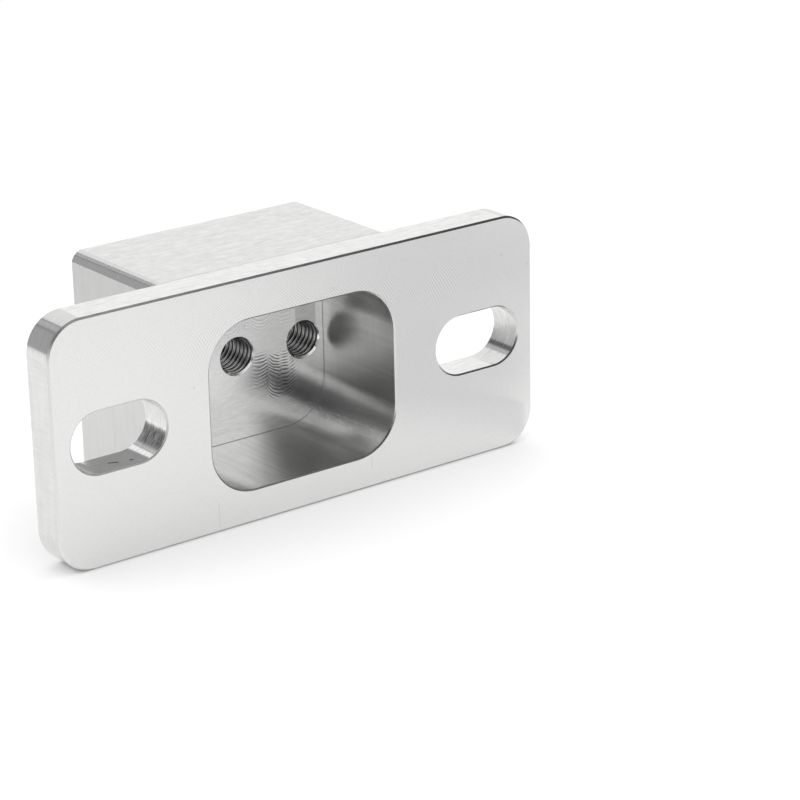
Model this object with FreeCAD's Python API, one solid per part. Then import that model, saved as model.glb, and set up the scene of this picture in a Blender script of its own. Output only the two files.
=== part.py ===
import FreeCAD
import Part

import math
import os

# A mounting block, milled from one aluminium bar.
# A flange plate with two slots carries a deep body of the same height. A pocket with round
# corners opens through the flange, and two tapped holes pass through the wall behind it.
#
# Frame: +X along the flange, +Y from the flange face towards the body's end, +Z up.
# The origin is under the middle of the block, on the face that it stands on.
# All sizes are in millimetres.

# Bar that the block is cut from
stock_height = 58.0
overall_depth = 43.8

# Flange
flange_width = 133.0
flange_thickness = 9.2
flange_corner_radius = 8.7
flange_chamfer = 0.45

# Pocket, open at the flange face
pocket_width = 51.3
pocket_height = 40.4
pocket_depth = 28.5
pocket_corner_radius = 11.2
pocket_shift_x = -0.35
pocket_shift_z = -0.85

# Body walls to the left and right of the pocket, and the body's own edges. Each long edge is
# rounded by an arc that reaches this leg along both sides and meets them at a slight edge.
wall_left = 8.0
wall_right = 5.85
body_edge_radius = 3.6
body_edge_leg = 2.45
body_end_chamfer = 0.5

# Fixing slots, one in each wing of the flange, from near the body to near the flange's end
slot_width = 14.4
slot_body_gap = 3.55
slot_end_margin = 4.45

# Deburred edge around the pocket and around both ends of each slot
mouth_chamfer = 0.35

# Tapped holes through the end wall, M10 with a coarse thread, in a row along X
thread_diameter = 10.0
thread_pitch = 1.5
tapped_count = 2
tapped_spacing = 19.0
tapped_wall_distance = 6.0
tapped_shift_z = -0.25
bore_chamfer = 0.6

# An internal thread's bore is its diameter less this share of the pitch
bore_pitch_share = 1.0825

# A cutting solid runs this far past the face that it opens
cut_past = 1.0

# Points nearer than this count as one
same_place = 1e-6

# Places that follow from the sizes above
front_y = -overall_depth / 2
end_y = overall_depth / 2
flange_back_y = front_y + flange_thickness
pocket_floor_y = front_y + pocket_depth
middle_z = stock_height / 2
pocket_z = middle_z + pocket_shift_z
pocket_left_x = pocket_shift_x - pocket_width / 2
pocket_right_x = pocket_shift_x + pocket_width / 2
body_left_x = pocket_left_x - wall_left
body_right_x = pocket_right_x + wall_right
slot_inner_x = max(-body_left_x, body_right_x) + slot_body_gap
slot_outer_x = flange_width / 2 - slot_end_margin
slot_length = slot_outer_x - slot_inner_x
slot_x = (slot_inner_x + slot_outer_x) / 2
tapped_last_x = pocket_right_x - tapped_wall_distance
tapped_z = middle_z + tapped_shift_z
bore_radius = (thread_diameter - bore_pitch_share * thread_pitch) / 2


def outline_point(centre_x, centre_z, radius, degrees, y):
    """A point on a circle in the plane at y, with 0 degrees along +X and 90 along +Z."""
    angle = math.radians(degrees)
    x = centre_x + radius * math.cos(angle)
    z = centre_z + radius * math.sin(angle)
    return FreeCAD.Vector(x, y, z)


def rounded_outline(width, height, radius, inset, centre_x, centre_z, y):
    """A rectangle with round corners in the plane at y.
    inset is how far the middle of each corner's arc lies from the two sides. With an inset equal
    to the radius the arc meets the sides smoothly, and with a smaller one at a slight edge."""
    reach_x = width / 2 - inset
    reach_z = height / 2 - inset
    half_turn = 45 - math.degrees(math.acos(inset / radius))
    arcs = []
    for side_x, side_z, middle in ((1, -1, -45), (1, 1, 45), (-1, 1, 135), (-1, -1, 225)):
        corner_x = centre_x + side_x * reach_x
        corner_z = centre_z + side_z * reach_z
        turns = (middle - half_turn, middle, middle + half_turn)
        arcs.append([outline_point(corner_x, corner_z, radius, turn, y) for turn in turns])
    edges = []
    for arc, next_arc in zip(arcs, arcs[1:] + arcs[:1]):
        edges.append(Part.Arc(*arc).toShape())
        if arc[2].distanceToPoint(next_arc[0]) > same_place:
            edges.append(Part.LineSegment(arc[2], next_arc[0]).toShape())
    return Part.Wire(edges)


def rounded_prism(width, height, radius, centre_x, centre_z, from_y, to_y):
    """A rectangle with smooth round corners, drawn in the plane at from_y and pushed to to_y."""
    outline = rounded_outline(width, height, radius, radius, centre_x, centre_z, from_y)
    return Part.Face(outline).extrude(FreeCAD.Vector(0, to_y - from_y, 0))


def faces_at(shape, y):
    """The flat faces of a shape that lie in the plane at y."""
    flat_faces = [face for face in shape.Faces if face.BoundBox.YLength < same_place]
    return [face for face in flat_faces if abs(face.BoundBox.YMin - y) < same_place]


def chamfer_rim(shape, y, size):
    """Break every outer edge of the faces at y."""
    edges = [edge for face in faces_at(shape, y) for edge in face.OuterWire.Edges]
    return shape.makeChamfer(size, edges)


def chamfer_openings(shape, y, size):
    """Break the edge of every opening in the faces at y."""
    edges = []
    for face in faces_at(shape, y):
        rim = face.OuterWire
        for wire in face.Wires:
            if not wire.isSame(rim):
                edges.extend(wire.Edges)
    return shape.makeChamfer(size, edges)


def make_flange():
    plate = rounded_prism(
        flange_width, stock_height, flange_corner_radius, 0, middle_z, front_y, flange_back_y
    )
    plate = chamfer_rim(plate, front_y, flange_chamfer)
    return chamfer_rim(plate, flange_back_y, flange_chamfer)


def body_outline(y, smaller_by):
    """The body's outline in the plane at y, drawn in by a distance on every side."""
    half_turn = math.asin(body_edge_leg / (body_edge_radius * math.sqrt(2)))
    inset = body_edge_radius * math.cos(math.radians(45) - half_turn)
    width = body_right_x - body_left_x
    centre_x = (body_left_x + body_right_x) / 2
    return rounded_outline(
        width - 2 * smaller_by, stock_height - 2 * smaller_by,
        body_edge_radius - smaller_by, inset - smaller_by, centre_x, middle_z, y
    )


def make_body():
    """The body starts halfway through the flange, so that both share the flange's faces."""
    root_y = front_y + flange_thickness / 2
    rim_y = end_y - body_end_chamfer
    walls = Part.Face(body_outline(root_y, 0)).extrude(FreeCAD.Vector(0, rim_y - root_y, 0))
    rim = Part.makeLoft([body_outline(rim_y, 0), body_outline(end_y, body_end_chamfer)], True, True)
    return walls.fuse(rim)


def pocket_cut():
    return rounded_prism(
        pocket_width, pocket_height, pocket_corner_radius,
        pocket_shift_x, pocket_z, front_y - cut_past, pocket_floor_y
    )


def slot_cut(centre_x):
    return rounded_prism(
        slot_length, slot_width, slot_width / 2,
        centre_x, middle_z, front_y - cut_past, flange_back_y + cut_past
    )


def bore_cut(centre_x):
    start = FreeCAD.Vector(centre_x, pocket_floor_y - cut_past, tapped_z)
    length = end_y - pocket_floor_y + 2 * cut_past
    return Part.makeCylinder(bore_radius, length, start, FreeCAD.Vector(0, 1, 0))


def make_block():
    block = make_flange().fuse(make_body()).removeSplitter()
    cuts = [pocket_cut(), slot_cut(-slot_x), slot_cut(slot_x)]
    for place in range(tapped_count):
        cuts.append(bore_cut(tapped_last_x - place * tapped_spacing))
    block = block.cut(cuts)
    for y in (front_y, flange_back_y):
        block = chamfer_openings(block, y, mouth_chamfer)
    for y in (pocket_floor_y, end_y):
        block = chamfer_openings(block, y, bore_chamfer)
    return block.Solids[0]


os.makedirs("parts", exist_ok=True)
block = make_block()
block.exportStep("parts/mounting_block.step")
print("mounting_block", "valid", block.isValid(), "volume", round(block.Volume, 1), block.BoundBox)
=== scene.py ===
import math

import bmesh
import bpy
from bpy.props import FloatProperty, FloatVectorProperty, IntProperty, PointerProperty
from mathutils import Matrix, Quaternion, Vector


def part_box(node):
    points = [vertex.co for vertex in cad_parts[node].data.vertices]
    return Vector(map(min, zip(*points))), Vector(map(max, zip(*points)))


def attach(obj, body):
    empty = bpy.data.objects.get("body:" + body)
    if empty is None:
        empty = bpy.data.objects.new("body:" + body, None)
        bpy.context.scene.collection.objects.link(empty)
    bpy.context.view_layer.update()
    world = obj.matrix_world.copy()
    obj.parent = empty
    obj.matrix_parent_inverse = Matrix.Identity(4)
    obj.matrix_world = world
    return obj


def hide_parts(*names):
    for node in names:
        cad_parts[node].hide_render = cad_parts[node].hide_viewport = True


bl_info = {
    "name": "Machined mounting block",
    "version": (1, 0, 0),
    "blender": (4, 5, 0),
    "location": "3D View > Sidebar > Block",
    "description": "A milled aluminium mounting block with cut threads and tool marks",
    "category": "Object",
}

# The frame: +X along the flange, +Y from the flange face towards the body's end, +Z up.
# The origin is under the middle of the block. Blender's unit is the metre.
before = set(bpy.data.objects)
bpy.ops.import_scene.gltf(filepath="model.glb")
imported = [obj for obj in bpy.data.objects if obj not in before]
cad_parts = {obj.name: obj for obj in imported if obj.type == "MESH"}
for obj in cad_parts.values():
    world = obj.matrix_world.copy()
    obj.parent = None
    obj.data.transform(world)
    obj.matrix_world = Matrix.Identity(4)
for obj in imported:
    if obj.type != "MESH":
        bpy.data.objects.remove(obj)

NODE = "mounting_block"
MM = 0.001

BLOCK_LOW, BLOCK_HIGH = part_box(NODE)
FRONT_Y = BLOCK_LOW.y
END_Y = BLOCK_HIGH.y

# Places on the block, in metres
FLANGE_BACK_Y = FRONT_Y + 9.2 * MM
POCKET_FLOOR_Y = FRONT_Y + 28.5 * MM
POCKET_RIGHT_X = 25.3 * MM
POCKET_LEFT_X = -26.0 * MM
POCKET_TOP_Z = 48.35 * MM
POCKET_BOTTOM_Z = 7.95 * MM
POCKET_CORNER_RADIUS = 11.2 * MM
SLOT_INNER_X = 37.55 * MM
SLOT_OUTER_X = 62.05 * MM
SLOT_BOTTOM_Z = 21.8 * MM
SLOT_TOP_Z = 36.2 * MM
BORES = (Vector((0.3 * MM, 0, 28.75 * MM)), Vector((19.3 * MM, 0, 28.75 * MM)))
BORE_MOUTH_RADIUS = 4.788 * MM
RIM_WIDTH = 0.5 * MM

# Points nearer than this are one point, and a face nearer than this lies in a plane
SAME_POINT = 0.001 * MM
SAME_PLANE = 0.01 * MM

# A face points along an axis where its normal's share of it is over FACING, and lies along the
# axis where that share is under BESIDE. A wall is flat where its share is over FLAT.
FACING = 0.9
BESIDE = 0.2
FLAT = 0.999

# Angles in degrees. Faces that meet at less than the first are one flat face. Edges look sharp
# over the second, and over the third where the finish changes too.
ONE_FACE = 0.3
SHARP = 30
SHARP_AT_FINISH = 10

# An internal metric thread, as shares of its pitch: the height of the full tooth, and the flats at
# the inner and the outer diameter. The last value is the share of the full tooth that is cut.
FULL_TOOTH = math.sqrt(3) / 2
CREST_FLAT = 1 / 4
ROOT_FLAT = 1 / 8
CUT_SHARE = 5 / 8

# Edges of the tooth's outline over this length are cut, so that the mouths' cones come out round
LONG_EDGE = 0.2 * MM
LONG_EDGE_CUTS = 4


def linear(hex_colour):
    """The linear colour of an sRGB hex value such as "f0f0ef"."""
    shares = [int(hex_colour[place:place + 2], 16) / 255 for place in (0, 2, 4)]
    return [s / 12.92 if s <= 0.04045 else ((s + 0.055) / 1.055) ** 2.4 for s in shares]


class ThreadSettings(bpy.types.PropertyGroup):
    """Sizes of the two tapped holes"""

    diameter: FloatProperty(
        name="Diameter", description="Outer diameter of the thread",
        default=10 * MM, min=4 * MM, max=16 * MM,
        subtype="DISTANCE", unit="LENGTH", precision=4,
    )
    pitch: FloatProperty(
        name="Pitch", description="Length of one turn along the hole",
        default=1.5 * MM, min=0.5 * MM, max=2.5 * MM,
        subtype="DISTANCE", unit="LENGTH", precision=4,
    )
    crest_round: FloatProperty(
        name="Crest rounding", description="Rounding of the thread's crests and roots",
        default=0.09 * MM, min=0.01 * MM, max=0.2 * MM,
        subtype="DISTANCE", unit="LENGTH", precision=5,
    )
    steps: IntProperty(
        name="Steps", description="Flats in one turn of the thread", default=96, min=24, max=160,
    )


class FinishSettings(bpy.types.PropertyGroup):
    """Colours and tool marks of the aluminium"""

    metal: FloatVectorProperty(
        name="Aluminium", description="Colour of the bare metal",
        default=linear("f6f6f5"), size=3, min=0, max=1, subtype="COLOR",
    )
    fly_cut_feed: FloatProperty(
        name="Fly-cut spacing", description="Distance between the arcs on the flange face",
        default=0.8 * MM, min=0.1 * MM, max=2 * MM,
        subtype="DISTANCE", unit="LENGTH", precision=5,
    )
    fly_cut_radius: FloatProperty(
        name="Fly-cut radius", description="Radius of the cutter that faced the flange",
        default=31.5 * MM, min=30 * MM, max=80 * MM,
        subtype="DISTANCE", unit="LENGTH", precision=4,
    )
    swirl_feed: FloatProperty(
        name="Swirl spacing", description="Distance between the arcs on the pocket's floor",
        default=0.85 * MM, min=0.1 * MM, max=2 * MM,
        subtype="DISTANCE", unit="LENGTH", precision=5,
    )
    swirl_radius: FloatProperty(
        name="Swirl radius", description="Radius of the end mill that cut the pocket's floor",
        default=5 * MM, min=1 * MM, max=10 * MM,
        subtype="DISTANCE", unit="LENGTH", precision=4,
    )


class StageSettings(bpy.types.PropertyGroup):
    """Floor, light and camera"""

    paper: FloatVectorProperty(
        name="Paper", description="Colour of the floor", default=linear("f8f8f8"),
        size=3, min=0, max=1, subtype="COLOR",
    )
    contact: FloatProperty(
        name="Contact shadow", description="Reach of the dark line where the block stands",
        default=1.2 * MM, min=0.1 * MM, max=10 * MM,
        subtype="DISTANCE", unit="LENGTH", precision=4,
    )
    camera_place: FloatVectorProperty(
        name="Camera", description="Where the camera stands",
        default=(-0.34337, -0.51414, 0.24329), size=3, subtype="TRANSLATION", unit="LENGTH",
    )
    camera_aim: FloatVectorProperty(
        name="Aim", description="The point in the middle of the picture",
        default=(0.016210, -0.035560, 0.025760), size=3, subtype="TRANSLATION", unit="LENGTH",
    )
    camera_roll: FloatProperty(
        name="Roll", description="Turn of the camera about its own line of sight",
        default=math.radians(-1.238), subtype="ANGLE", unit="ROTATION",
    )
    camera_lens: FloatProperty(
        name="Lens", description="Focal length in millimetres", default=126.2, min=20, max=300,
    )


MATH = "ShaderNodeMath"
RANGE = "ShaderNodeMapRange"


def add(tree, kind, inputs=None, **settings):
    """Add a node with its settings. Each input is a value, or a node or an output to link from."""
    node = tree.nodes.new(kind)
    for name, value in settings.items():
        setattr(node, name, value)
    for socket, value in (inputs or {}).items():
        if isinstance(value, bpy.types.Node):
            value = value.outputs[0]
        if isinstance(value, bpy.types.NodeSocket):
            tree.links.new(value, node.inputs[socket])
        else:
            node.inputs[socket].default_value = value
    return node


def new_material(name):
    """An empty node material and its tree."""
    material = bpy.data.materials.new(name)
    material.use_nodes = True
    material.node_tree.nodes.clear()
    return material, material.node_tree


def place_in_mm(tree):
    """The point on the block in millimetres, as a vector and as outputs named X, Y and Z."""
    here = add(tree, "ShaderNodeTexCoord")
    scaled = add(
        tree, "ShaderNodeVectorMath",
        {0: here.outputs["Object"], 1: (1 / MM, 1 / MM, 1 / MM)}, operation="MULTIPLY",
    )
    parts = add(tree, "ShaderNodeSeparateXYZ", {0: scaled})
    return scaled, parts.outputs


def streaks(tree, point, spacing, detail=3.0, roughness=0.6):
    """Noise from 0 to 1 whose grains measure about spacing millimetres along x, y and z."""
    squeezed = add(
        tree, "ShaderNodeVectorMath",
        {0: point, 1: tuple(1 / size for size in spacing)}, operation="MULTIPLY",
    )
    return add(
        tree, "ShaderNodeTexNoise",
        {"Vector": squeezed, "Scale": 1.0, "Detail": detail, "Roughness": roughness},
        noise_dimensions="3D",
    )


def inside(tree, ranges, soft):
    """1 where each value lies in its range, falling to 0 over soft millimetres inside its ends."""
    share = 1.0
    for value, low, high in ranges:
        for start, stop in ((low, low + soft), (high, high - soft)):
            ramp = add(
                tree, RANGE, {"Value": value, "From Min": start, "From Max": stop},
                interpolation_type="SMOOTHSTEP",
            )
            share = add(tree, MATH, {0: ramp, 1: share}, operation="MULTIPLY")
    return share


def away_from(tree, value, place, near, far):
    """0 where a value is nearer than near to place, and 1 from far on."""
    off = add(tree, MATH, {0: value, 1: place}, operation="SUBTRACT")
    size = add(tree, MATH, {0: off}, operation="ABSOLUTE")
    return add(
        tree, RANGE, {"Value": size, "From Min": near, "From Max": far},
        interpolation_type="SMOOTHSTEP",
    )


def length_of(tree, first, second):
    """The length of a flat vector with these two parts."""
    square = add(tree, MATH, {0: first, 1: first}, operation="MULTIPLY")
    total = add(tree, MATH, {0: second, 1: second, 2: square}, operation="MULTIPLY_ADD")
    return add(tree, MATH, {0: total}, operation="SQRT")


def off_scratches(tree, across, along, scratches):
    """0 on a few short scratches, and 1 beside them. Each scratch gives its two ends as places
    across and along, then its half width, all in millimetres."""
    clear = 1.0
    for from_a, from_b, to_a, to_b, half_width in scratches:
        run = (to_a - from_a, to_b - from_b)
        length = math.hypot(*run)
        off_a = add(tree, MATH, {0: across, 1: from_a}, operation="SUBTRACT")
        off_b = add(tree, MATH, {0: along, 1: from_b}, operation="SUBTRACT")
        part_a = add(tree, MATH, {0: off_a, 1: run[0] / length ** 2}, operation="MULTIPLY")
        part = add(
            tree, MATH, {0: off_b, 1: run[1] / length ** 2, 2: part_a},
            operation="MULTIPLY_ADD", use_clamp=True,
        )
        rest_a = add(tree, MATH, {0: part, 1: -run[0], 2: off_a}, operation="MULTIPLY_ADD")
        rest_b = add(tree, MATH, {0: part, 1: -run[1], 2: off_b}, operation="MULTIPLY_ADD")
        away = length_of(tree, rest_a, rest_b)
        beside = add(
            tree, RANGE, {"Value": away, "From Min": half_width / 2, "From Max": half_width},
        )
        clear = add(tree, MATH, {0: clear, 1: beside}, operation="MULTIPLY")
    return clear


def arcs(tree, across, along, middle, radius, feed, way):
    """Lines from 0 to 1 that a cutter of that radius leaves as it moves along, feed by feed.
    way is ADD or SUBTRACT, for arcs that bulge backwards or forwards."""
    off = add(tree, MATH, {0: across, 1: middle}, operation="SUBTRACT")
    square = add(tree, MATH, {0: off, 1: off}, operation="MULTIPLY")
    rest = add(tree, MATH, {0: radius ** 2, 1: square}, operation="SUBTRACT")
    kept = add(tree, MATH, {0: rest, 1: 0.0}, operation="MAXIMUM")
    reach = add(tree, MATH, {0: kept}, operation="SQRT")
    centre = add(tree, MATH, {0: along, 1: reach}, operation=way)
    turn = add(tree, MATH, {0: centre, 1: 2 * math.pi / feed}, operation="MULTIPLY")
    wave = add(tree, MATH, {0: turn}, operation="SINE")
    return add(tree, MATH, {0: wave, 1: 0.5, 2: 0.5}, operation="MULTIPLY_ADD")


def metal_surface(tree, finish, height, depth_mm, roughness, tones):
    """Bare metal with a height pattern from 0 to 1 that is depth_mm deep.
    roughness and tones each give the value at the pattern's bottom and at its top."""
    bump = add(
        tree, "ShaderNodeBump",
        {"Strength": 1.0, "Distance": depth_mm * MM, "Height": height},
    )
    # The colour is darker where the pattern is low: painted shade in the grooves of the tool
    # marks.
    low, high = [[part * tone for part in finish.metal] for tone in tones]
    colour = add(
        tree, "ShaderNodeMix", {"Factor": height, "A": (*low, 1), "B": (*high, 1)},
        data_type="RGBA",
    )
    rough = add(tree, RANGE, {"Value": height, "To Min": roughness[0], "To Max": roughness[1]})
    shader = add(
        tree, "ShaderNodeBsdfPrincipled",
        {
            "Base Color": colour.outputs["Result"], "Metallic": 1.0,
            "Roughness": rough, "Normal": bump,
        },
    )
    add(tree, "ShaderNodeOutputMaterial", {"Surface": shader})


# Small scratches and pits on the flange face, as x and z of both ends and the half width
FACE_SCRATCHES = (
    (57.1, 48.6, 57.3, 48.8, 0.3), (65.1, 44.8, 65.2, 45.4, 0.2), (-30.3, 35.7, -30.1, 35.9, 0.3),
    (7.4, 50.0, 7.9, 51.2, 0.16), (8.4, 50.3, 8.6, 51.0, 0.18), (9.1, 50.1, 9.6, 50.9, 0.13),
    (17.9, 4.6, 17.9, 7.6, 0.18), (-25.0, 1.0, -25.0, 7.0, 0.14),
)

# Nicks on the floor of the left slot, as x and y of both ends and the half width
SLOT_NICKS = (
    (-50.3, -17.5, -48.6, -18.3, 0.4), (-45.6, -18.9, -45.3, -18.9, 0.45),
)


def fly_cut_aluminium(finish):
    """The flange face: one wide cutter passed along it and left crossing arcs with a soft sheen.
    The arcs are clearest near the upper edge and fade towards both ends."""
    material, tree = new_material("fly_cut_aluminium")
    point, xyz = place_in_mm(tree)
    middle = BLOCK_HIGH.z / 2 / MM
    radius = finish.fly_cut_radius / MM
    feed = finish.fly_cut_feed / MM
    total = streaks(tree, point, (0.4, 0.4, 0.4), detail=2.0)
    upper = add(
        tree, RANGE, {"Value": xyz["Z"], "From Min": 38.0, "From Max": 48.0, "To Min": 0.12},
        interpolation_type="SMOOTHSTEP",
    )
    short_of_end = add(
        tree, RANGE, {"Value": xyz["X"], "From Min": 58.0, "From Max": 36.0, "To Min": 0.25},
        interpolation_type="SMOOTHSTEP",
    )
    off_left = add(
        tree, RANGE, {"Value": xyz["X"], "From Min": -46.0, "From Max": -18.0, "To Min": 0.3},
        interpolation_type="SMOOTHSTEP",
    )
    between = add(tree, MATH, {0: short_of_end, 1: off_left}, operation="MULTIPLY")
    clearest = add(tree, MATH, {0: upper, 1: between}, operation="MULTIPLY")
    for way, size, strength in (("SUBTRACT", 11, 1.8), ("ADD", 13, 1.2)):
        lines = arcs(tree, xyz["Z"], xyz["X"], middle, radius, feed, way)
        patch = streaks(tree, point, (size, size, size), detail=1.0)
        share = add(
            tree, RANGE,
            {"Value": patch, "From Min": 0.38, "From Max": 0.6, "To Min": 0.2, "To Max": strength},
            interpolation_type="SMOOTHSTEP",
        )
        shown = add(tree, MATH, {0: share, 1: clearest}, operation="MULTIPLY")
        centred = add(tree, MATH, {0: lines, 1: 0.5}, operation="SUBTRACT")
        total = add(tree, MATH, {0: centred, 1: shown, 2: total}, operation="MULTIPLY_ADD")
    height = add(tree, RANGE, {"Value": total, "From Min": -0.4, "From Max": 1.4})
    beside = off_scratches(tree, xyz["X"], xyz["Z"], FACE_SCRATCHES)
    on_body_end = add(tree, MATH, {0: xyz["Y"], 1: 0.0}, operation="GREATER_THAN")
    clear = add(tree, MATH, {0: beside, 1: on_body_end}, operation="MAXIMUM")
    marked = add(tree, MATH, {0: height, 1: clear}, operation="MULTIPLY")
    metal_surface(tree, finish, marked, 0.014, roughness=(0.4, 0.32), tones=(0.74, 0.95))
    return material


def side_milled_aluminium(finish):
    """The flange's ends and back, cut with the side of an end mill: satin, with faint lines."""
    material, tree = new_material("side_milled_aluminium")
    point = place_in_mm(tree)[0]
    lines = streaks(tree, point, (0.6, 9, 0.6))
    cloud = streaks(tree, point, (4, 2, 7), detail=2.0)
    both = add(tree, MATH, {0: cloud, 1: 0.8, 2: lines}, operation="MULTIPLY_ADD")
    height = add(tree, RANGE, {"Value": both, "From Min": 0.5, "From Max": 1.3})
    metal_surface(tree, finish, height, 0.005, roughness=(0.36, 0.27), tones=(0.7, 0.83))
    return material


def long_reach_aluminium(finish):
    """The body's side walls, cut at full reach: duller than the flange, with upright lines, and
    painted shade towards the top.
    """
    material, tree = new_material("long_reach_aluminium")
    point, xyz = place_in_mm(tree)
    lines = streaks(tree, point, (0.9, 0.9, 14))
    cloud = streaks(tree, point, (3, 3, 5), detail=2.0)
    both = add(tree, MATH, {0: cloud, 1: 0.8, 2: lines}, operation="MULTIPLY_ADD")
    # Painted shade: the walls are lighter and glossier lower down, and darker towards the top.
    lower = add(tree, RANGE, {"Value": xyz["Z"], "From Min": 46.0, "From Max": 30.0})
    total = add(tree, MATH, {0: lower, 1: 1.1, 2: both}, operation="MULTIPLY_ADD")
    height = add(tree, RANGE, {"Value": total, "From Min": -1.0, "From Max": 3.4})
    metal_surface(tree, finish, height, 0.003, roughness=(0.46, 0.38), tones=(0.5, 0.84))
    return material


def rounded_edge_aluminium(finish):
    """Rounded corners: a fine last pass left them glossy, with thin lines across."""
    material, tree = new_material("rounded_edge_aluminium")
    point = place_in_mm(tree)[0]
    lines = streaks(tree, point, (12, 0.35, 12), detail=2.0)
    grain = streaks(tree, point, (0.3, 0.3, 0.3), detail=2.0)
    both = add(tree, MATH, {0: grain, 1: 0.5, 2: lines}, operation="MULTIPLY_ADD")
    height = add(tree, RANGE, {"Value": both, "From Min": 0.35, "From Max": 1.15})
    metal_surface(tree, finish, height, 0.0012, roughness=(0.18, 0.12), tones=(0.66, 0.82))
    return material


def slot_wall_aluminium(finish):
    """The slots' walls, cut by a small end mill: glossy, darker in mottled patches low at the left
    slot's inner end, with painted shade at the slots' ends.
    """
    material, tree = new_material("slot_wall_aluminium")
    point, xyz = place_in_mm(tree)
    lines = streaks(tree, point, (3, 0.35, 3), detail=2.0)
    height = add(tree, RANGE, {"Value": lines, "From Min": 0.3, "From Max": 0.7, "To Min": 0.75})
    # Mottled patches that darken the left slot's inner end low down.
    mottle = streaks(tree, point, (2.4, 0.22, 2.4), detail=3.0)
    mottled = add(
        tree, RANGE, {"Value": mottle, "From Min": 0.4, "From Max": 0.62},
        interpolation_type="SMOOTHSTEP",
    )
    inner_end = inside(tree, ((xyz["X"], -43.0, -36.0), (xyz["Z"], 22.9, 27.9)), 1.0)
    # Painted shade: a band low at the right slot's outer end.
    outer_end = inside(tree, ((xyz["X"], 54.0, 64.0), (xyz["Z"], 23.7, 25.2)), 0.55)
    loss = add(tree, MATH, {0: mottled, 1: 0.5, 2: 0.4}, operation="MULTIPLY_ADD")
    taken = add(tree, MATH, {0: loss, 1: inner_end}, operation="MULTIPLY")
    both = add(tree, MATH, {0: outer_end, 1: 0.6, 2: taken}, operation="MULTIPLY_ADD")
    # Painted shade over the right slot's outer end and high at the left slot's inner end.
    for ranges, shade_depth in (
        (((xyz["X"], 53.5, 70.0), (xyz["Z"], 10.0, 50.0)), 0.14),
        (((xyz["X"], -44.0, -30.0), (xyz["Z"], 27.0, 50.0)), 0.14),
    ):
        shaded_end = inside(tree, ranges, 1.5)
        both = add(tree, MATH, {0: shaded_end, 1: shade_depth, 2: both}, operation="MULTIPLY_ADD")
    with_painted_shade = add(tree, MATH, {0: height, 1: both}, operation="SUBTRACT", use_clamp=True)
    nicked = off_scratches(tree, xyz["X"], xyz["Y"], SLOT_NICKS)
    above_floor = add(tree, RANGE, {"Value": xyz["Z"], "From Min": 24.0, "From Max": 25.0})
    clear = add(tree, MATH, {0: nicked, 1: above_floor}, operation="MAXIMUM")
    marked = add(tree, MATH, {0: with_painted_shade, 1: clear}, operation="MULTIPLY")
    metal_surface(tree, finish, marked, 0.004, roughness=(0.3, 0.12), tones=(0.16, 1.0))
    return material


def mill_finish_aluminium(finish):
    """Top and bottom, left as the bar was made: pale and soft, with faint streaks along the bar.
    The flange is a little paler, and a fine line parts it from the body."""
    material, tree = new_material("mill_finish_aluminium")
    point, xyz = place_in_mm(tree)
    lines = streaks(tree, point, (7, 0.35, 0.35), detail=3.0)
    cloud = streaks(tree, point, (3.5, 2, 2), detail=6.0, roughness=0.75)
    both = add(tree, MATH, {0: cloud, 1: 1.4, 2: lines}, operation="MULTIPLY_ADD")
    height = add(tree, RANGE, {"Value": both, "From Min": 0.7, "From Max": 1.7})
    back = FLANGE_BACK_Y / MM
    on_flange = add(
        tree, RANGE, {"Value": xyz["Y"], "From Min": back + 0.1, "From Max": back - 0.1},
    )
    lighter = add(
        tree, MATH, {0: on_flange, 1: 0.2, 2: height}, operation="MULTIPLY_ADD", use_clamp=True,
    )
    joint = away_from(tree, xyz["Y"], back, 0.1, 0.35)
    marked = add(tree, MATH, {0: lighter, 1: joint}, operation="MULTIPLY")
    metal_surface(tree, finish, marked, 0.012, roughness=(0.5, 0.34), tones=(0.74, 1.05))
    return material


def pocket_wall_aluminium(finish):
    """The pocket's walls, cut by a long end mill: glossy, streaked along the cutter and across it.
    The streaks are drawn about a millimetre apart, so that they show."""
    material, tree = new_material("pocket_wall_aluminium")
    point, xyz = place_in_mm(tree)
    lines = streaks(tree, point, (0.9, 25, 0.9), detail=1.0)
    steps = streaks(tree, point, (25, 1.6, 25), detail=1.0)
    both = add(tree, MATH, {0: steps, 1: 0.4, 2: lines}, operation="MULTIPLY_ADD")
    height = add(tree, RANGE, {"Value": both, "From Min": 0.2, "From Max": 1.2, "To Min": 0.6})
    # Painted shade: the right wall is made darker and a little rougher.
    at_right = add(tree, RANGE, {"Value": xyz["X"], "From Min": 20.0, "From Max": 25.0})
    lower = add(tree, MATH, {0: at_right, 1: -0.42, 2: height}, operation="MULTIPLY_ADD")
    metal_surface(tree, finish, lower, 0.0002, roughness=(0.34, 0.24), tones=(0.5, 1.04))
    return material


def from_pocket_wall(tree, xyz):
    """How far a point on the pocket's floor lies from the pocket's wall, in millimetres."""
    offsets = []
    for axis, low, high in (
        ("X", POCKET_LEFT_X, POCKET_RIGHT_X), ("Z", POCKET_BOTTOM_Z, POCKET_TOP_Z),
    ):
        centre = (low + high) / 2 / MM
        reach = (high - low) / 2 / MM - POCKET_CORNER_RADIUS / MM
        off = add(tree, MATH, {0: xyz[axis], 1: centre}, operation="SUBTRACT")
        size = add(tree, MATH, {0: off}, operation="ABSOLUTE")
        offsets.append(add(tree, MATH, {0: size, 1: reach}, operation="SUBTRACT"))
    outside = [add(tree, MATH, {0: off, 1: 0.0}, operation="MAXIMUM") for off in offsets]
    round_part = length_of(tree, outside[0], outside[1])
    larger = add(tree, MATH, {0: offsets[0], 1: offsets[1]}, operation="MAXIMUM")
    flat_part = add(tree, MATH, {0: larger, 1: 0.0}, operation="MINIMUM")
    distance = add(tree, MATH, {0: round_part, 1: flat_part}, operation="ADD")
    return add(tree, MATH, {0: POCKET_CORNER_RADIUS / MM, 1: distance}, operation="SUBTRACT")


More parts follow.
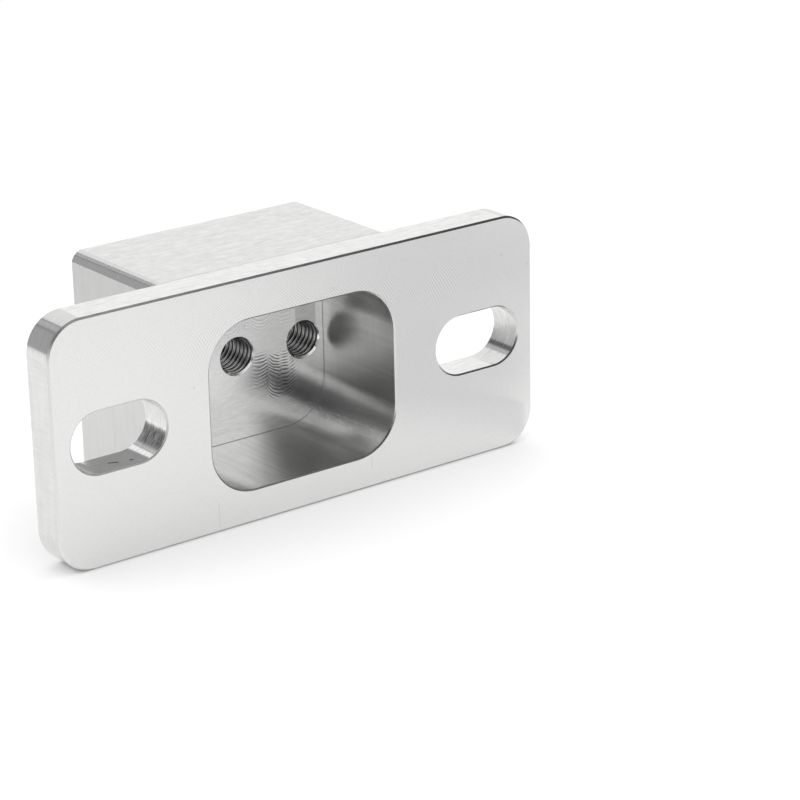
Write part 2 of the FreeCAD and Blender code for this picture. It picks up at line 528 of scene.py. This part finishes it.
# Rows of arcs on the pocket's floor, in millimetres: the middle of the cutter's path along X, then
# the box that the arcs show in (left, right, low, high), and how deep they are from 0 to 1
SWIRLS = (
    (13.0, 8.6, 17.6, 15.5, 27.5, 1.0),
    (14.6, 11.0, 18.2, 17.5, 28.0, 0.6),
    (7.0, 4.4, 9.4, 19.0, 28.5, 0.7),
    (-2.0, -7.0, 4.5, 34.0, 46.0, 0.28),
    (8.0, 3.0, 16.5, 33.0, 46.0, 0.28),
)


def end_milled_aluminium(finish):
    """The pocket's floor: arcs from the end of the cutter, a smooth band along the walls, and a
    thin line of painted shade where it meets the walls.
    """
    material, tree = new_material("end_milled_aluminium")
    point, xyz = place_in_mm(tree)
    radius = finish.swirl_radius / MM
    feed = finish.swirl_feed / MM
    edge = from_pocket_wall(tree, xyz)
    fine = streaks(tree, point, (3.0, 3.0, 0.5), detail=2.0)
    total = add(tree, MATH, {0: fine, 1: 0.3, 2: 0.55}, operation="MULTIPLY_ADD")
    unsteady = streaks(tree, point, (5, 5, 5), detail=2.0)
    wobbly = add(tree, MATH, {0: unsteady, 1: 1.6, 2: xyz["Z"]}, operation="MULTIPLY_ADD")
    for middle, left, right, low, high, strength in SWIRLS:
        lines = arcs(tree, xyz["X"], wobbly, middle, radius, feed, "ADD")
        shown = inside(tree, ((xyz["X"], left, right), (xyz["Z"], low, high)), 1.2)
        signed = add(tree, MATH, {0: lines, 1: 0.5}, operation="SUBTRACT")
        share = add(tree, MATH, {0: shown, 1: strength}, operation="MULTIPLY")
        total = add(tree, MATH, {0: signed, 1: share, 2: total}, operation="MULTIPLY_ADD")
    # A patch at the upper right, beside the right wall, is made darker.
    upper_right_patch = inside(tree, ((xyz["X"], 17.2, 30.0), (xyz["Z"], 31.0, 60.0)), 0.25)
    total = add(tree, MATH, {0: upper_right_patch, 1: -0.28, 2: total}, operation="MULTIPLY_ADD")
    in_field = add(
        tree, RANGE, {"Value": edge, "From Min": 2.0, "From Max": 2.3},
        interpolation_type="SMOOTHSTEP",
    )
    off_field = add(tree, MATH, {0: 1.0, 1: in_field}, operation="SUBTRACT")
    field = add(tree, MATH, {0: total, 1: in_field}, operation="MULTIPLY")
    floor = add(
        tree, MATH, {0: off_field, 1: 0.75, 2: field}, operation="MULTIPLY_ADD", use_clamp=True,
    )
    # Painted shade: a thin dark line where the floor meets the walls.
    corner = add(
        tree, RANGE, {"Value": edge, "From Min": 0.04, "From Max": 0.14},
        interpolation_type="SMOOTHSTEP",
    )
    height = add(tree, MATH, {0: floor, 1: corner}, operation="MULTIPLY")
    metal_surface(tree, finish, height, 0.03, roughness=(0.26, 0.2), tones=(0.3, 1.0))
    return material


def bright_cut_aluminium(finish):
    """Chamfers: one pass of a cutter, smoother and painted darker towards the right: painted
    shade.
    """
    material, tree = new_material("bright_cut_aluminium")
    point, xyz = place_in_mm(tree)
    lines = streaks(tree, point, (2, 2, 2), detail=2.0)
    soft = add(tree, MATH, {0: lines, 1: 0.4, 2: 0.5}, operation="MULTIPLY_ADD")
    # Painted shade: lighter at the left, darker towards the right.
    painted_shade_rightwards = add(tree, RANGE, {"Value": xyz["X"], "From Min": 35.0, "From Max": -50.0})
    height = add(tree, MATH, {0: soft, 1: painted_shade_rightwards}, operation="MULTIPLY")
    metal_surface(tree, finish, height, 0.001, roughness=(0.24, 0.55), tones=(0.7, 0.93))
    return material


def rubbed_edge_aluminium(finish):
    """The left slot's rims, broken by hand with an abrasive: soft and pale."""
    material, tree = new_material("rubbed_edge_aluminium")
    point = place_in_mm(tree)[0]
    grain = streaks(tree, point, (1.5, 0.5, 1.5), detail=3.0)
    metal_surface(tree, finish, grain, 0.006, roughness=(0.7, 0.55), tones=(0.8, 1.0))
    return material


def tapped_aluminium(finish):
    """Cut thread: torn flanks and roots, painted near black as painted shade deep in the thread,
    lighter crests, and a bright cone at each mouth.
    """
    material, tree = new_material("tapped_aluminium")
    point, xyz = place_in_mm(tree)
    grain = streaks(tree, point, (1.2, 0.12, 1.2), detail=2.0)
    between = (BORES[0].x + BORES[1].x) / 2 / MM
    apart = (BORES[1].x - BORES[0].x) / 2 / MM
    off_middle = add(tree, MATH, {0: xyz["X"], 1: between}, operation="SUBTRACT")
    side = add(tree, MATH, {0: off_middle}, operation="ABSOLUTE")
    off_x = add(tree, MATH, {0: side, 1: apart}, operation="SUBTRACT")
    off_z = add(tree, MATH, {0: xyz["Z"], 1: BORES[0].z / MM}, operation="SUBTRACT")
    radius = length_of(tree, off_x, off_z)
    # Painted shade: the thread is near black except at its crests, about half as light, and at the
    # mouths' cones, which keep the bright metal.
    crest = add(
        tree, RANGE, {"Value": radius, "From Min": 4.6, "From Max": 4.22},
        interpolation_type="SMOOTHSTEP",
    )
    floor = POCKET_FLOOR_Y / MM
    mouth = add(
        tree, RANGE, {"Value": xyz["Y"], "From Min": floor + 0.7, "From Max": floor + 0.5},
    )
    half_shaded_crests = add(tree, MATH, {0: crest, 1: 0.5}, operation="MULTIPLY")
    outside_painted_shade = add(tree, MATH, {0: half_shaded_crests, 1: mouth}, operation="MAXIMUM")
    height = add(
        tree, MATH, {0: grain, 1: 0.15, 2: outside_painted_shade}, operation="MULTIPLY_ADD", use_clamp=True,
    )
    metal_surface(tree, finish, height, 0.003, roughness=(0.4, 0.15), tones=(0.02, 0.95))
    return material


FINISHES = (
    fly_cut_aluminium, side_milled_aluminium, long_reach_aluminium, rounded_edge_aluminium,
    slot_wall_aluminium, mill_finish_aluminium, pocket_wall_aluminium, end_milled_aluminium,
    bright_cut_aluminium, rubbed_edge_aluminium, tapped_aluminium,
)


def in_slot(x, z, margin):
    """True where x and z lie within the box round the right slot, or less than margin outside."""
    beside = SLOT_INNER_X - margin < x < SLOT_OUTER_X + margin
    return beside and SLOT_BOTTOM_Z - margin < z < SLOT_TOP_Z + margin


def finish_of(face):
    """The finish that a face of the block has, by where it lies and which way it points."""
    middle = face.calc_center_median()
    normal = face.normal
    in_pocket = (
        POCKET_LEFT_X - SAME_PLANE < middle.x < POCKET_RIGHT_X + SAME_PLANE
        and POCKET_BOTTOM_Z - SAME_PLANE < middle.z < POCKET_TOP_Z + SAME_PLANE
        and middle.y < POCKET_FLOOR_Y + SAME_PLANE
    )
    if BESIDE < abs(normal.y) < FACING:
        at_left_slot = in_slot(-middle.x, middle.z, RIM_WIDTH)
        return rubbed_edge_aluminium if at_left_slot else bright_cut_aluminium
    if abs(normal.y) > FACING:
        if in_pocket and middle.y > POCKET_FLOOR_Y - SAME_PLANE:
            return end_milled_aluminium
        if abs(middle.y - FLANGE_BACK_Y) < SAME_PLANE:
            return side_milled_aluminium
        return fly_cut_aluminium
    if in_pocket:
        return pocket_wall_aluminium
    if middle.z > BLOCK_HIGH.z - SAME_PLANE or middle.z < BLOCK_LOW.z + SAME_PLANE:
        return mill_finish_aluminium
    if in_slot(abs(middle.x), middle.z, SAME_PLANE):
        return slot_wall_aluminium
    if abs(normal.x) < FLAT:
        return rounded_edge_aluminium
    return long_reach_aluminium if middle.y > FLANGE_BACK_Y else side_milled_aluminium


def distance_from_axis(point, axis):
    """How far a point lies from a bore's middle line, which runs along Y."""
    return math.hypot(point.x - axis.x, point.z - axis.z)


def in_bore(face):
    """True for the walls and the mouths of the plain bores."""
    middle = face.calc_center_median()
    if middle.y < POCKET_FLOOR_Y + SAME_PLANE or middle.y > END_Y - SAME_PLANE:
        return False
    return any(distance_from_axis(middle, axis) < BORE_MOUTH_RADIUS for axis in BORES)


def tooth_outline(thread):
    """One pitch of the thread's outline, as distances from the hole's middle line and along it."""
    outer = thread.diameter / 2
    inner = outer - thread.pitch * FULL_TOOTH * CUT_SHARE
    half_crest = thread.pitch * CREST_FLAT / 2
    root = thread.pitch * ROOT_FLAT
    flank = (thread.pitch - 2 * half_crest - root) / 2
    return (
        (inner, 0), (inner, half_crest), (outer, half_crest + flank),
        (outer, half_crest + flank + root), (inner, thread.pitch - half_crest),
        (inner, thread.pitch),
    )


def helix(thread, axis):
    """A thread that runs past both ends of its hole: the tooth's outline turned round the hole's
    middle line, one turn at a time."""
    mesh = bmesh.new()
    turns = math.ceil((END_Y - POCKET_FLOOR_Y) / thread.pitch) + 2
    start = POCKET_FLOOR_Y - thread.pitch
    corners = [
        mesh.verts.new((axis.x + out, start + along, axis.z))
        for out, along in tooth_outline(thread)
    ]
    for first, second in zip(corners, corners[1:]):
        mesh.edges.new((first, second))
    bmesh.ops.bevel(
        mesh, geom=corners[1:-1], offset=thread.crest_round, offset_type="OFFSET",
        segments=2, profile=0.5, affect="VERTICES", material=-1,
    )
    flanks = [edge for edge in mesh.edges if edge.calc_length() > LONG_EDGE]
    bmesh.ops.subdivide_edges(mesh, edges=flanks, cuts=LONG_EDGE_CUTS)
    bmesh.ops.spin(
        mesh, geom=mesh.verts[:] + mesh.edges[:], cent=axis, axis=(0, 1, 0),
        dvec=(0, thread.pitch / thread.steps, 0), angle=2 * math.pi,
        steps=thread.steps, use_merge=False, use_duplicate=False,
    )
    one_turn = mesh.verts[:] + mesh.edges[:] + mesh.faces[:]
    for turn in range(1, turns):
        copied = bmesh.ops.duplicate(mesh, geom=one_turn)
        corners = [item for item in copied["geom"] if isinstance(item, bmesh.types.BMVert)]
        bmesh.ops.translate(mesh, verts=corners, vec=(0, turn * thread.pitch, 0))
    bmesh.ops.remove_doubles(mesh, verts=mesh.verts, dist=SAME_POINT)
    return mesh


def thread_surface(thread, axis):
    """One tapped hole from the pocket's floor to the end face, with a cone at each mouth."""
    mesh = helix(thread, axis)
    for y, away in ((POCKET_FLOOR_Y, -1), (END_Y, 1)):
        bmesh.ops.bisect_plane(
            mesh, geom=mesh.verts[:] + mesh.edges[:] + mesh.faces[:], dist=SAME_POINT / 10,
            plane_co=(0, y, 0), plane_no=(0, away, 0), clear_outer=True,
        )
    for corner in mesh.verts:
        from_mouth = min(corner.co.y - POCKET_FLOOR_Y, END_Y - corner.co.y)
        radius = distance_from_axis(corner.co, axis)
        wanted = max(radius, BORE_MOUTH_RADIUS - from_mouth)
        wanted = min(wanted, BORE_MOUTH_RADIUS + from_mouth)
        corner.co.x = axis.x + (corner.co.x - axis.x) * wanted / radius
        corner.co.z = axis.z + (corner.co.z - axis.z) * wanted / radius
    bmesh.ops.remove_doubles(mesh, verts=mesh.verts, dist=SAME_POINT)
    return mesh


def rim_edges(mesh, axis, y):
    """The open edges around a bore at y."""
    reach = BORE_MOUTH_RADIUS + SAME_PLANE
    return [
        edge for edge in mesh.edges
        if edge.is_boundary
        and all(abs(corner.co.y - y) < SAME_PLANE for corner in edge.verts)
        and all(distance_from_axis(corner.co, axis) < reach for corner in edge.verts)
    ]


def mark_sharp_edges(mesh):
    """Mark where two faces meet sharply, which takes less of an angle where the finish changes."""
    for edge in mesh.edges:
        if len(edge.link_faces) == 2:
            first, second = edge.link_faces
            one_finish = first.material_index == second.material_index
            limit = SHARP if one_finish else SHARP_AT_FINISH
            edge.smooth = edge.calc_face_angle() < math.radians(limit)


class BLOCK_OT_body(bpy.types.Operator):
    """Make the milled block, with a finish on each face"""

    bl_idname = "block.body"
    bl_label = "Milled block"

    def execute(self, context):
        finish = context.scene.block_finish
        mesh = bmesh.new()
        mesh.from_mesh(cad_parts[NODE].data)
        bmesh.ops.remove_doubles(mesh, verts=mesh.verts, dist=SAME_POINT)
        bmesh.ops.dissolve_limit(
            mesh, angle_limit=math.radians(ONE_FACE), verts=mesh.verts, edges=mesh.edges,
            use_dissolve_boundaries=False,
        )
        for face in mesh.faces:
            face.material_index = FINISHES.index(finish_of(face))
            face.smooth = True
        mark_sharp_edges(mesh)
        data = bpy.data.meshes.new("block")
        mesh.to_mesh(data)
        mesh.free()
        for make_finish in FINISHES:
            data.materials.append(make_finish(finish))
        block = bpy.data.objects.new("block", data)
        context.scene.collection.objects.link(block)
        keep_flat = block.modifiers.new("Flat faces stay flat", "WEIGHTED_NORMAL")
        keep_flat.keep_sharp = True
        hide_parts(NODE)
        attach(block, "root")
        return {"FINISHED"}


class BLOCK_OT_threads(bpy.types.Operator):
    """Cut the threads in the block's two plain bores"""

    bl_idname = "block.threads"
    bl_label = "Tapped threads"

    def execute(self, context):
        thread = context.scene.block_thread
        data = bpy.data.objects["block"].data
        mesh = bmesh.new()
        mesh.from_mesh(data)
        walls = [face for face in mesh.faces if in_bore(face)]
        bmesh.ops.delete(mesh, geom=walls, context="FACES")
        floor_finish = FINISHES.index(end_milled_aluminium)
        end_finish = FINISHES.index(fly_cut_aluminium)
        for axis in BORES:
            surface = thread_surface(thread, axis)
            for face in surface.faces:
                face.material_index = FINISHES.index(tapped_aluminium)
                face.smooth = True
            cut = bpy.data.meshes.new("thread")
            surface.to_mesh(cut)
            surface.free()
            mesh.from_mesh(cut)
            bpy.data.meshes.remove(cut)
            for y, finish in ((POCKET_FLOOR_Y, floor_finish), (END_Y, end_finish)):
                made = bmesh.ops.bridge_loops(mesh, edges=rim_edges(mesh, axis, y))
                for face in made["faces"]:
                    face.material_index = finish
                    face.smooth = True
        bmesh.ops.recalc_face_normals(mesh, faces=mesh.faces)
        mark_sharp_edges(mesh)
        mesh.to_mesh(data)
        mesh.free()
        return {"FINISHED"}


# Softboxes. Each row: name, its place and the point that it faces, its width and height in metres,
# its brightness where 1 is white, and whether the metal shows it.
SOFTBOXES = (
    ("overhead_softbox", (0, 0.3, 1.4), (0, 0, 0), 1.9, 1.9, 1.0, False),
    ("front_softbox", (0.27, -0.77, 0.33), (0, 0, 0.05), 1.2, 0.64, 1.0, True),
)

# Brightness of the studio's air in the light that falls on things, where 1 is white
ROOM_LIGHT = 0.86

# The paper glows by this share near the block, and fully from the far distance on, in metres
PAPER_GLOW = 0.3
PAPER_NEAR = 0.2
PAPER_FAR = 0.6
CONTACT_SAMPLES = 8

# Half the floor's width, and the nearest and farthest things that the camera shows, in metres
FLOOR_REACH = 6.0
CAMERA_NEAR = 0.01
CAMERA_FAR = 20.0

# Length of one flat of a curved card, in degrees
CARD_FLAT = 4


def softbox(scene, name, place, aim, width, height, glow, reflected):
    """A lamp that faces a point."""
    lamp = bpy.data.lights.new(name, "AREA")
    lamp.shape = "RECTANGLE"
    lamp.size = width
    lamp.size_y = height
    lamp.energy = glow * math.pi * width * height
    holder = bpy.data.objects.new(name, lamp)
    holder.location = place
    holder.rotation_euler = (Vector(aim) - Vector(place)).to_track_quat("-Z", "Y").to_euler()
    scene.collection.objects.link(holder)
    holder.visible_glossy = reflected


def looked_at(tree):
    """1 for what the camera sees, straight or in the metal, and 0 for the light on things."""
    path = add(tree, "ShaderNodeLightPath")
    return add(
        tree, MATH,
        {0: path.outputs["Is Camera Ray"], 1: path.outputs["Is Glossy Ray"]}, operation="ADD",
    )


def white_paper(stage):
    """Matt white paper: it shows as white itself and in the metal, keeps a soft shadow round the
    block, and is evenly white further off."""
    material, tree = new_material("white_paper")
    paper = add(tree, "ShaderNodeBsdfDiffuse", {"Color": (*stage.paper, 1)})
    contact = add(
        tree, "ShaderNodeAmbientOcclusion", {"Distance": stage.contact},
        samples=CONTACT_SAMPLES, only_local=False,
    )
    glow = add(tree, "ShaderNodeEmission", {"Color": contact.outputs["Color"], "Strength": 1.0})
    here = add(tree, "ShaderNodeTexCoord")
    away = add(tree, "ShaderNodeVectorMath", {0: here.outputs["Object"]}, operation="LENGTH")
    evenly = add(
        tree, RANGE,
        {
            "Value": away.outputs["Value"],
            "From Min": PAPER_NEAR, "From Max": PAPER_FAR, "To Min": PAPER_GLOW,
        },
        interpolation_type="SMOOTHSTEP",
    )
    share = add(tree, MATH, {0: looked_at(tree), 1: evenly}, operation="MULTIPLY")
    both = add(tree, "ShaderNodeMixShader", {0: share, 1: paper, 2: glow})
    add(tree, "ShaderNodeOutputMaterial", {"Surface": both})
    return material


# Upright cards round the set, which only the metal's reflections show. Each row: name, the compass
# directions that it spans in degrees from +Y towards +X, its distance and height in metres, and
# its grey.
CARDS = (
    ("edge_line", -9.5, -7.0, 0.9, 1.15, "6a6a6b"),
    ("grey_card", -21.0, -9.5, 0.9, 1.15, "cbcbcc"),
    ("card_gap", -23.5, -21.0, 0.9, 1.15, "747475"),
    ("back_left_card", -75.0, -23.5, 0.9, 1.15, "b6b6b7"),
    ("camera_side_card", -172.0, -75.0, 0.9, 2.4, "404042"),
    ("low_side_card", -136.0, -75.0, 0.86, 0.42, "a4a4a5"),
    ("right_card", 81.0, 188.0, 0.9, 2.4, "4c4c4e"),
    # The last three are low pale cards just in front of the block's right half: painted shade of
    # the floor there, seen only in the face's reflection.
    ("far_painted_shade", 118.0, 152.0, 0.13, 0.04, "e7e7e8"),
    ("middle_painted_shade", 118.0, 165.0, 0.095, 0.014, "dadadb"),
    ("near_painted_shade", 110.0, 152.0, 0.07, 0.009, "ebebec"),
)


def grey_card(name, grey):
    """Matt card: it stands for the unlit room, or in front of the block for painted shade on the
    floor, and gives the metal its dark edges.
    """
    material, tree = new_material(name)
    card = add(tree, "ShaderNodeEmission", {"Color": (*linear(grey), 1), "Strength": 1.0})
    add(tree, "ShaderNodeOutputMaterial", {"Surface": card})
    return material


def upright_card(scene, name, start, stop, distance, height, grey):
    """A curved card from one compass direction to another, seen only in reflections."""
    mesh = bmesh.new()
    first = math.radians(90 - stop)
    foot = (distance * math.cos(first), distance * math.sin(first))
    low = mesh.verts.new((*foot, 0))
    high = mesh.verts.new((*foot, height))
    mesh.edges.new((low, high))
    bmesh.ops.spin(
        mesh, geom=mesh.verts[:] + mesh.edges[:], cent=(0, 0, 0), axis=(0, 0, 1),
        angle=math.radians(stop - start), steps=max(1, round((stop - start) / CARD_FLAT)),
        use_merge=False,
    )
    data = bpy.data.meshes.new(name)
    mesh.to_mesh(data)
    mesh.free()
    data.materials.append(grey_card(name, grey))
    card = bpy.data.objects.new(name, data)
    scene.collection.objects.link(card)
    card.visible_camera = False
    card.visible_diffuse = False
    card.visible_shadow = False


def paper_floor(scene, stage):
    """The sheet of paper that the block stands on."""
    mesh = bmesh.new()
    bmesh.ops.create_grid(mesh, x_segments=1, y_segments=1, size=FLOOR_REACH)
    data = bpy.data.meshes.new("floor")
    mesh.to_mesh(data)
    mesh.free()
    data.materials.append(white_paper(stage))
    floor = bpy.data.objects.new("floor", data)
    scene.collection.objects.link(floor)


def studio_air(scene):
    """Even light from all sides, which shows as white."""
    world = bpy.data.worlds.new("studio")
    scene.world = world
    world.use_nodes = True
    tree = world.node_tree
    tree.nodes.clear()
    level = add(tree, RANGE, {"Value": looked_at(tree), "To Min": ROOM_LIGHT, "To Max": 1.0})
    sky = add(tree, "ShaderNodeBackground", {"Color": (1, 1, 1, 1), "Strength": level})
    add(tree, "ShaderNodeOutputWorld", {"Surface": sky})


def photo_camera(scene, stage):
    """The camera, aimed at a point and turned about its own line of sight."""
    camera = bpy.data.cameras.new("camera")
    camera.lens = stage.camera_lens
    camera.clip_start = CAMERA_NEAR
    camera.clip_end = CAMERA_FAR
    holder = bpy.data.objects.new("camera", camera)
    place = Vector(stage.camera_place)
    look = (Vector(stage.camera_aim) - place).to_track_quat("-Z", "Y")
    turn = Quaternion((0, 0, 1), stage.camera_roll)
    holder.location = place
    holder.rotation_mode = "QUATERNION"
    holder.rotation_quaternion = look @ turn
    scene.collection.objects.link(holder)
    scene.camera = holder


class BLOCK_OT_stage(bpy.types.Operator):
    """Set up the floor, the light and the camera"""

    bl_idname = "block.stage"
    bl_label = "Stage"

    def execute(self, context):
        scene = context.scene
        stage = scene.block_stage
        paper_floor(scene, stage)
        for row in CARDS:
            upright_card(scene, *row)
        for row in SOFTBOXES:
            softbox(scene, *row)
        studio_air(scene)
        photo_camera(scene, stage)
        scene.view_settings.view_transform = "Standard"
        return {"FINISHED"}


class BLOCK_PT_panel(bpy.types.Panel):
    """The block's settings and steps"""

    bl_label = "Mounting block"
    bl_idname = "BLOCK_PT_panel"
    bl_space_type = "VIEW_3D"
    bl_region_type = "UI"
    bl_category = "Block"

    def draw(self, context):
        layout = self.layout
        scene = context.scene
        for title, settings, step in (
            ("Finish", scene.block_finish, "block.body"),
            ("Threads", scene.block_thread, "block.threads"),
            ("Stage", scene.block_stage, "block.stage"),
        ):
            box = layout.box()
            box.label(text=title)
            for name in settings.__annotations__:
                box.prop(settings, name)
            box.operator(step)


CLASSES = (
    ThreadSettings, FinishSettings, StageSettings,
    BLOCK_OT_body, BLOCK_OT_threads, BLOCK_OT_stage, BLOCK_PT_panel,
)


def register():
    for cls in CLASSES:
        bpy.utils.register_class(cls)
    bpy.types.Scene.block_thread = PointerProperty(type=ThreadSettings)
    bpy.types.Scene.block_finish = PointerProperty(type=FinishSettings)
    bpy.types.Scene.block_stage = PointerProperty(type=StageSettings)


def unregister():
    del bpy.types.Scene.block_stage
    del bpy.types.Scene.block_finish
    del bpy.types.Scene.block_thread
    for cls in reversed(CLASSES):
        bpy.utils.unregister_class(cls)


def main():
    register()
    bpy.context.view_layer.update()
    bpy.ops.block.body()
    bpy.ops.block.threads()
    bpy.ops.block.stage()


if __name__ == "__main__":
    main()
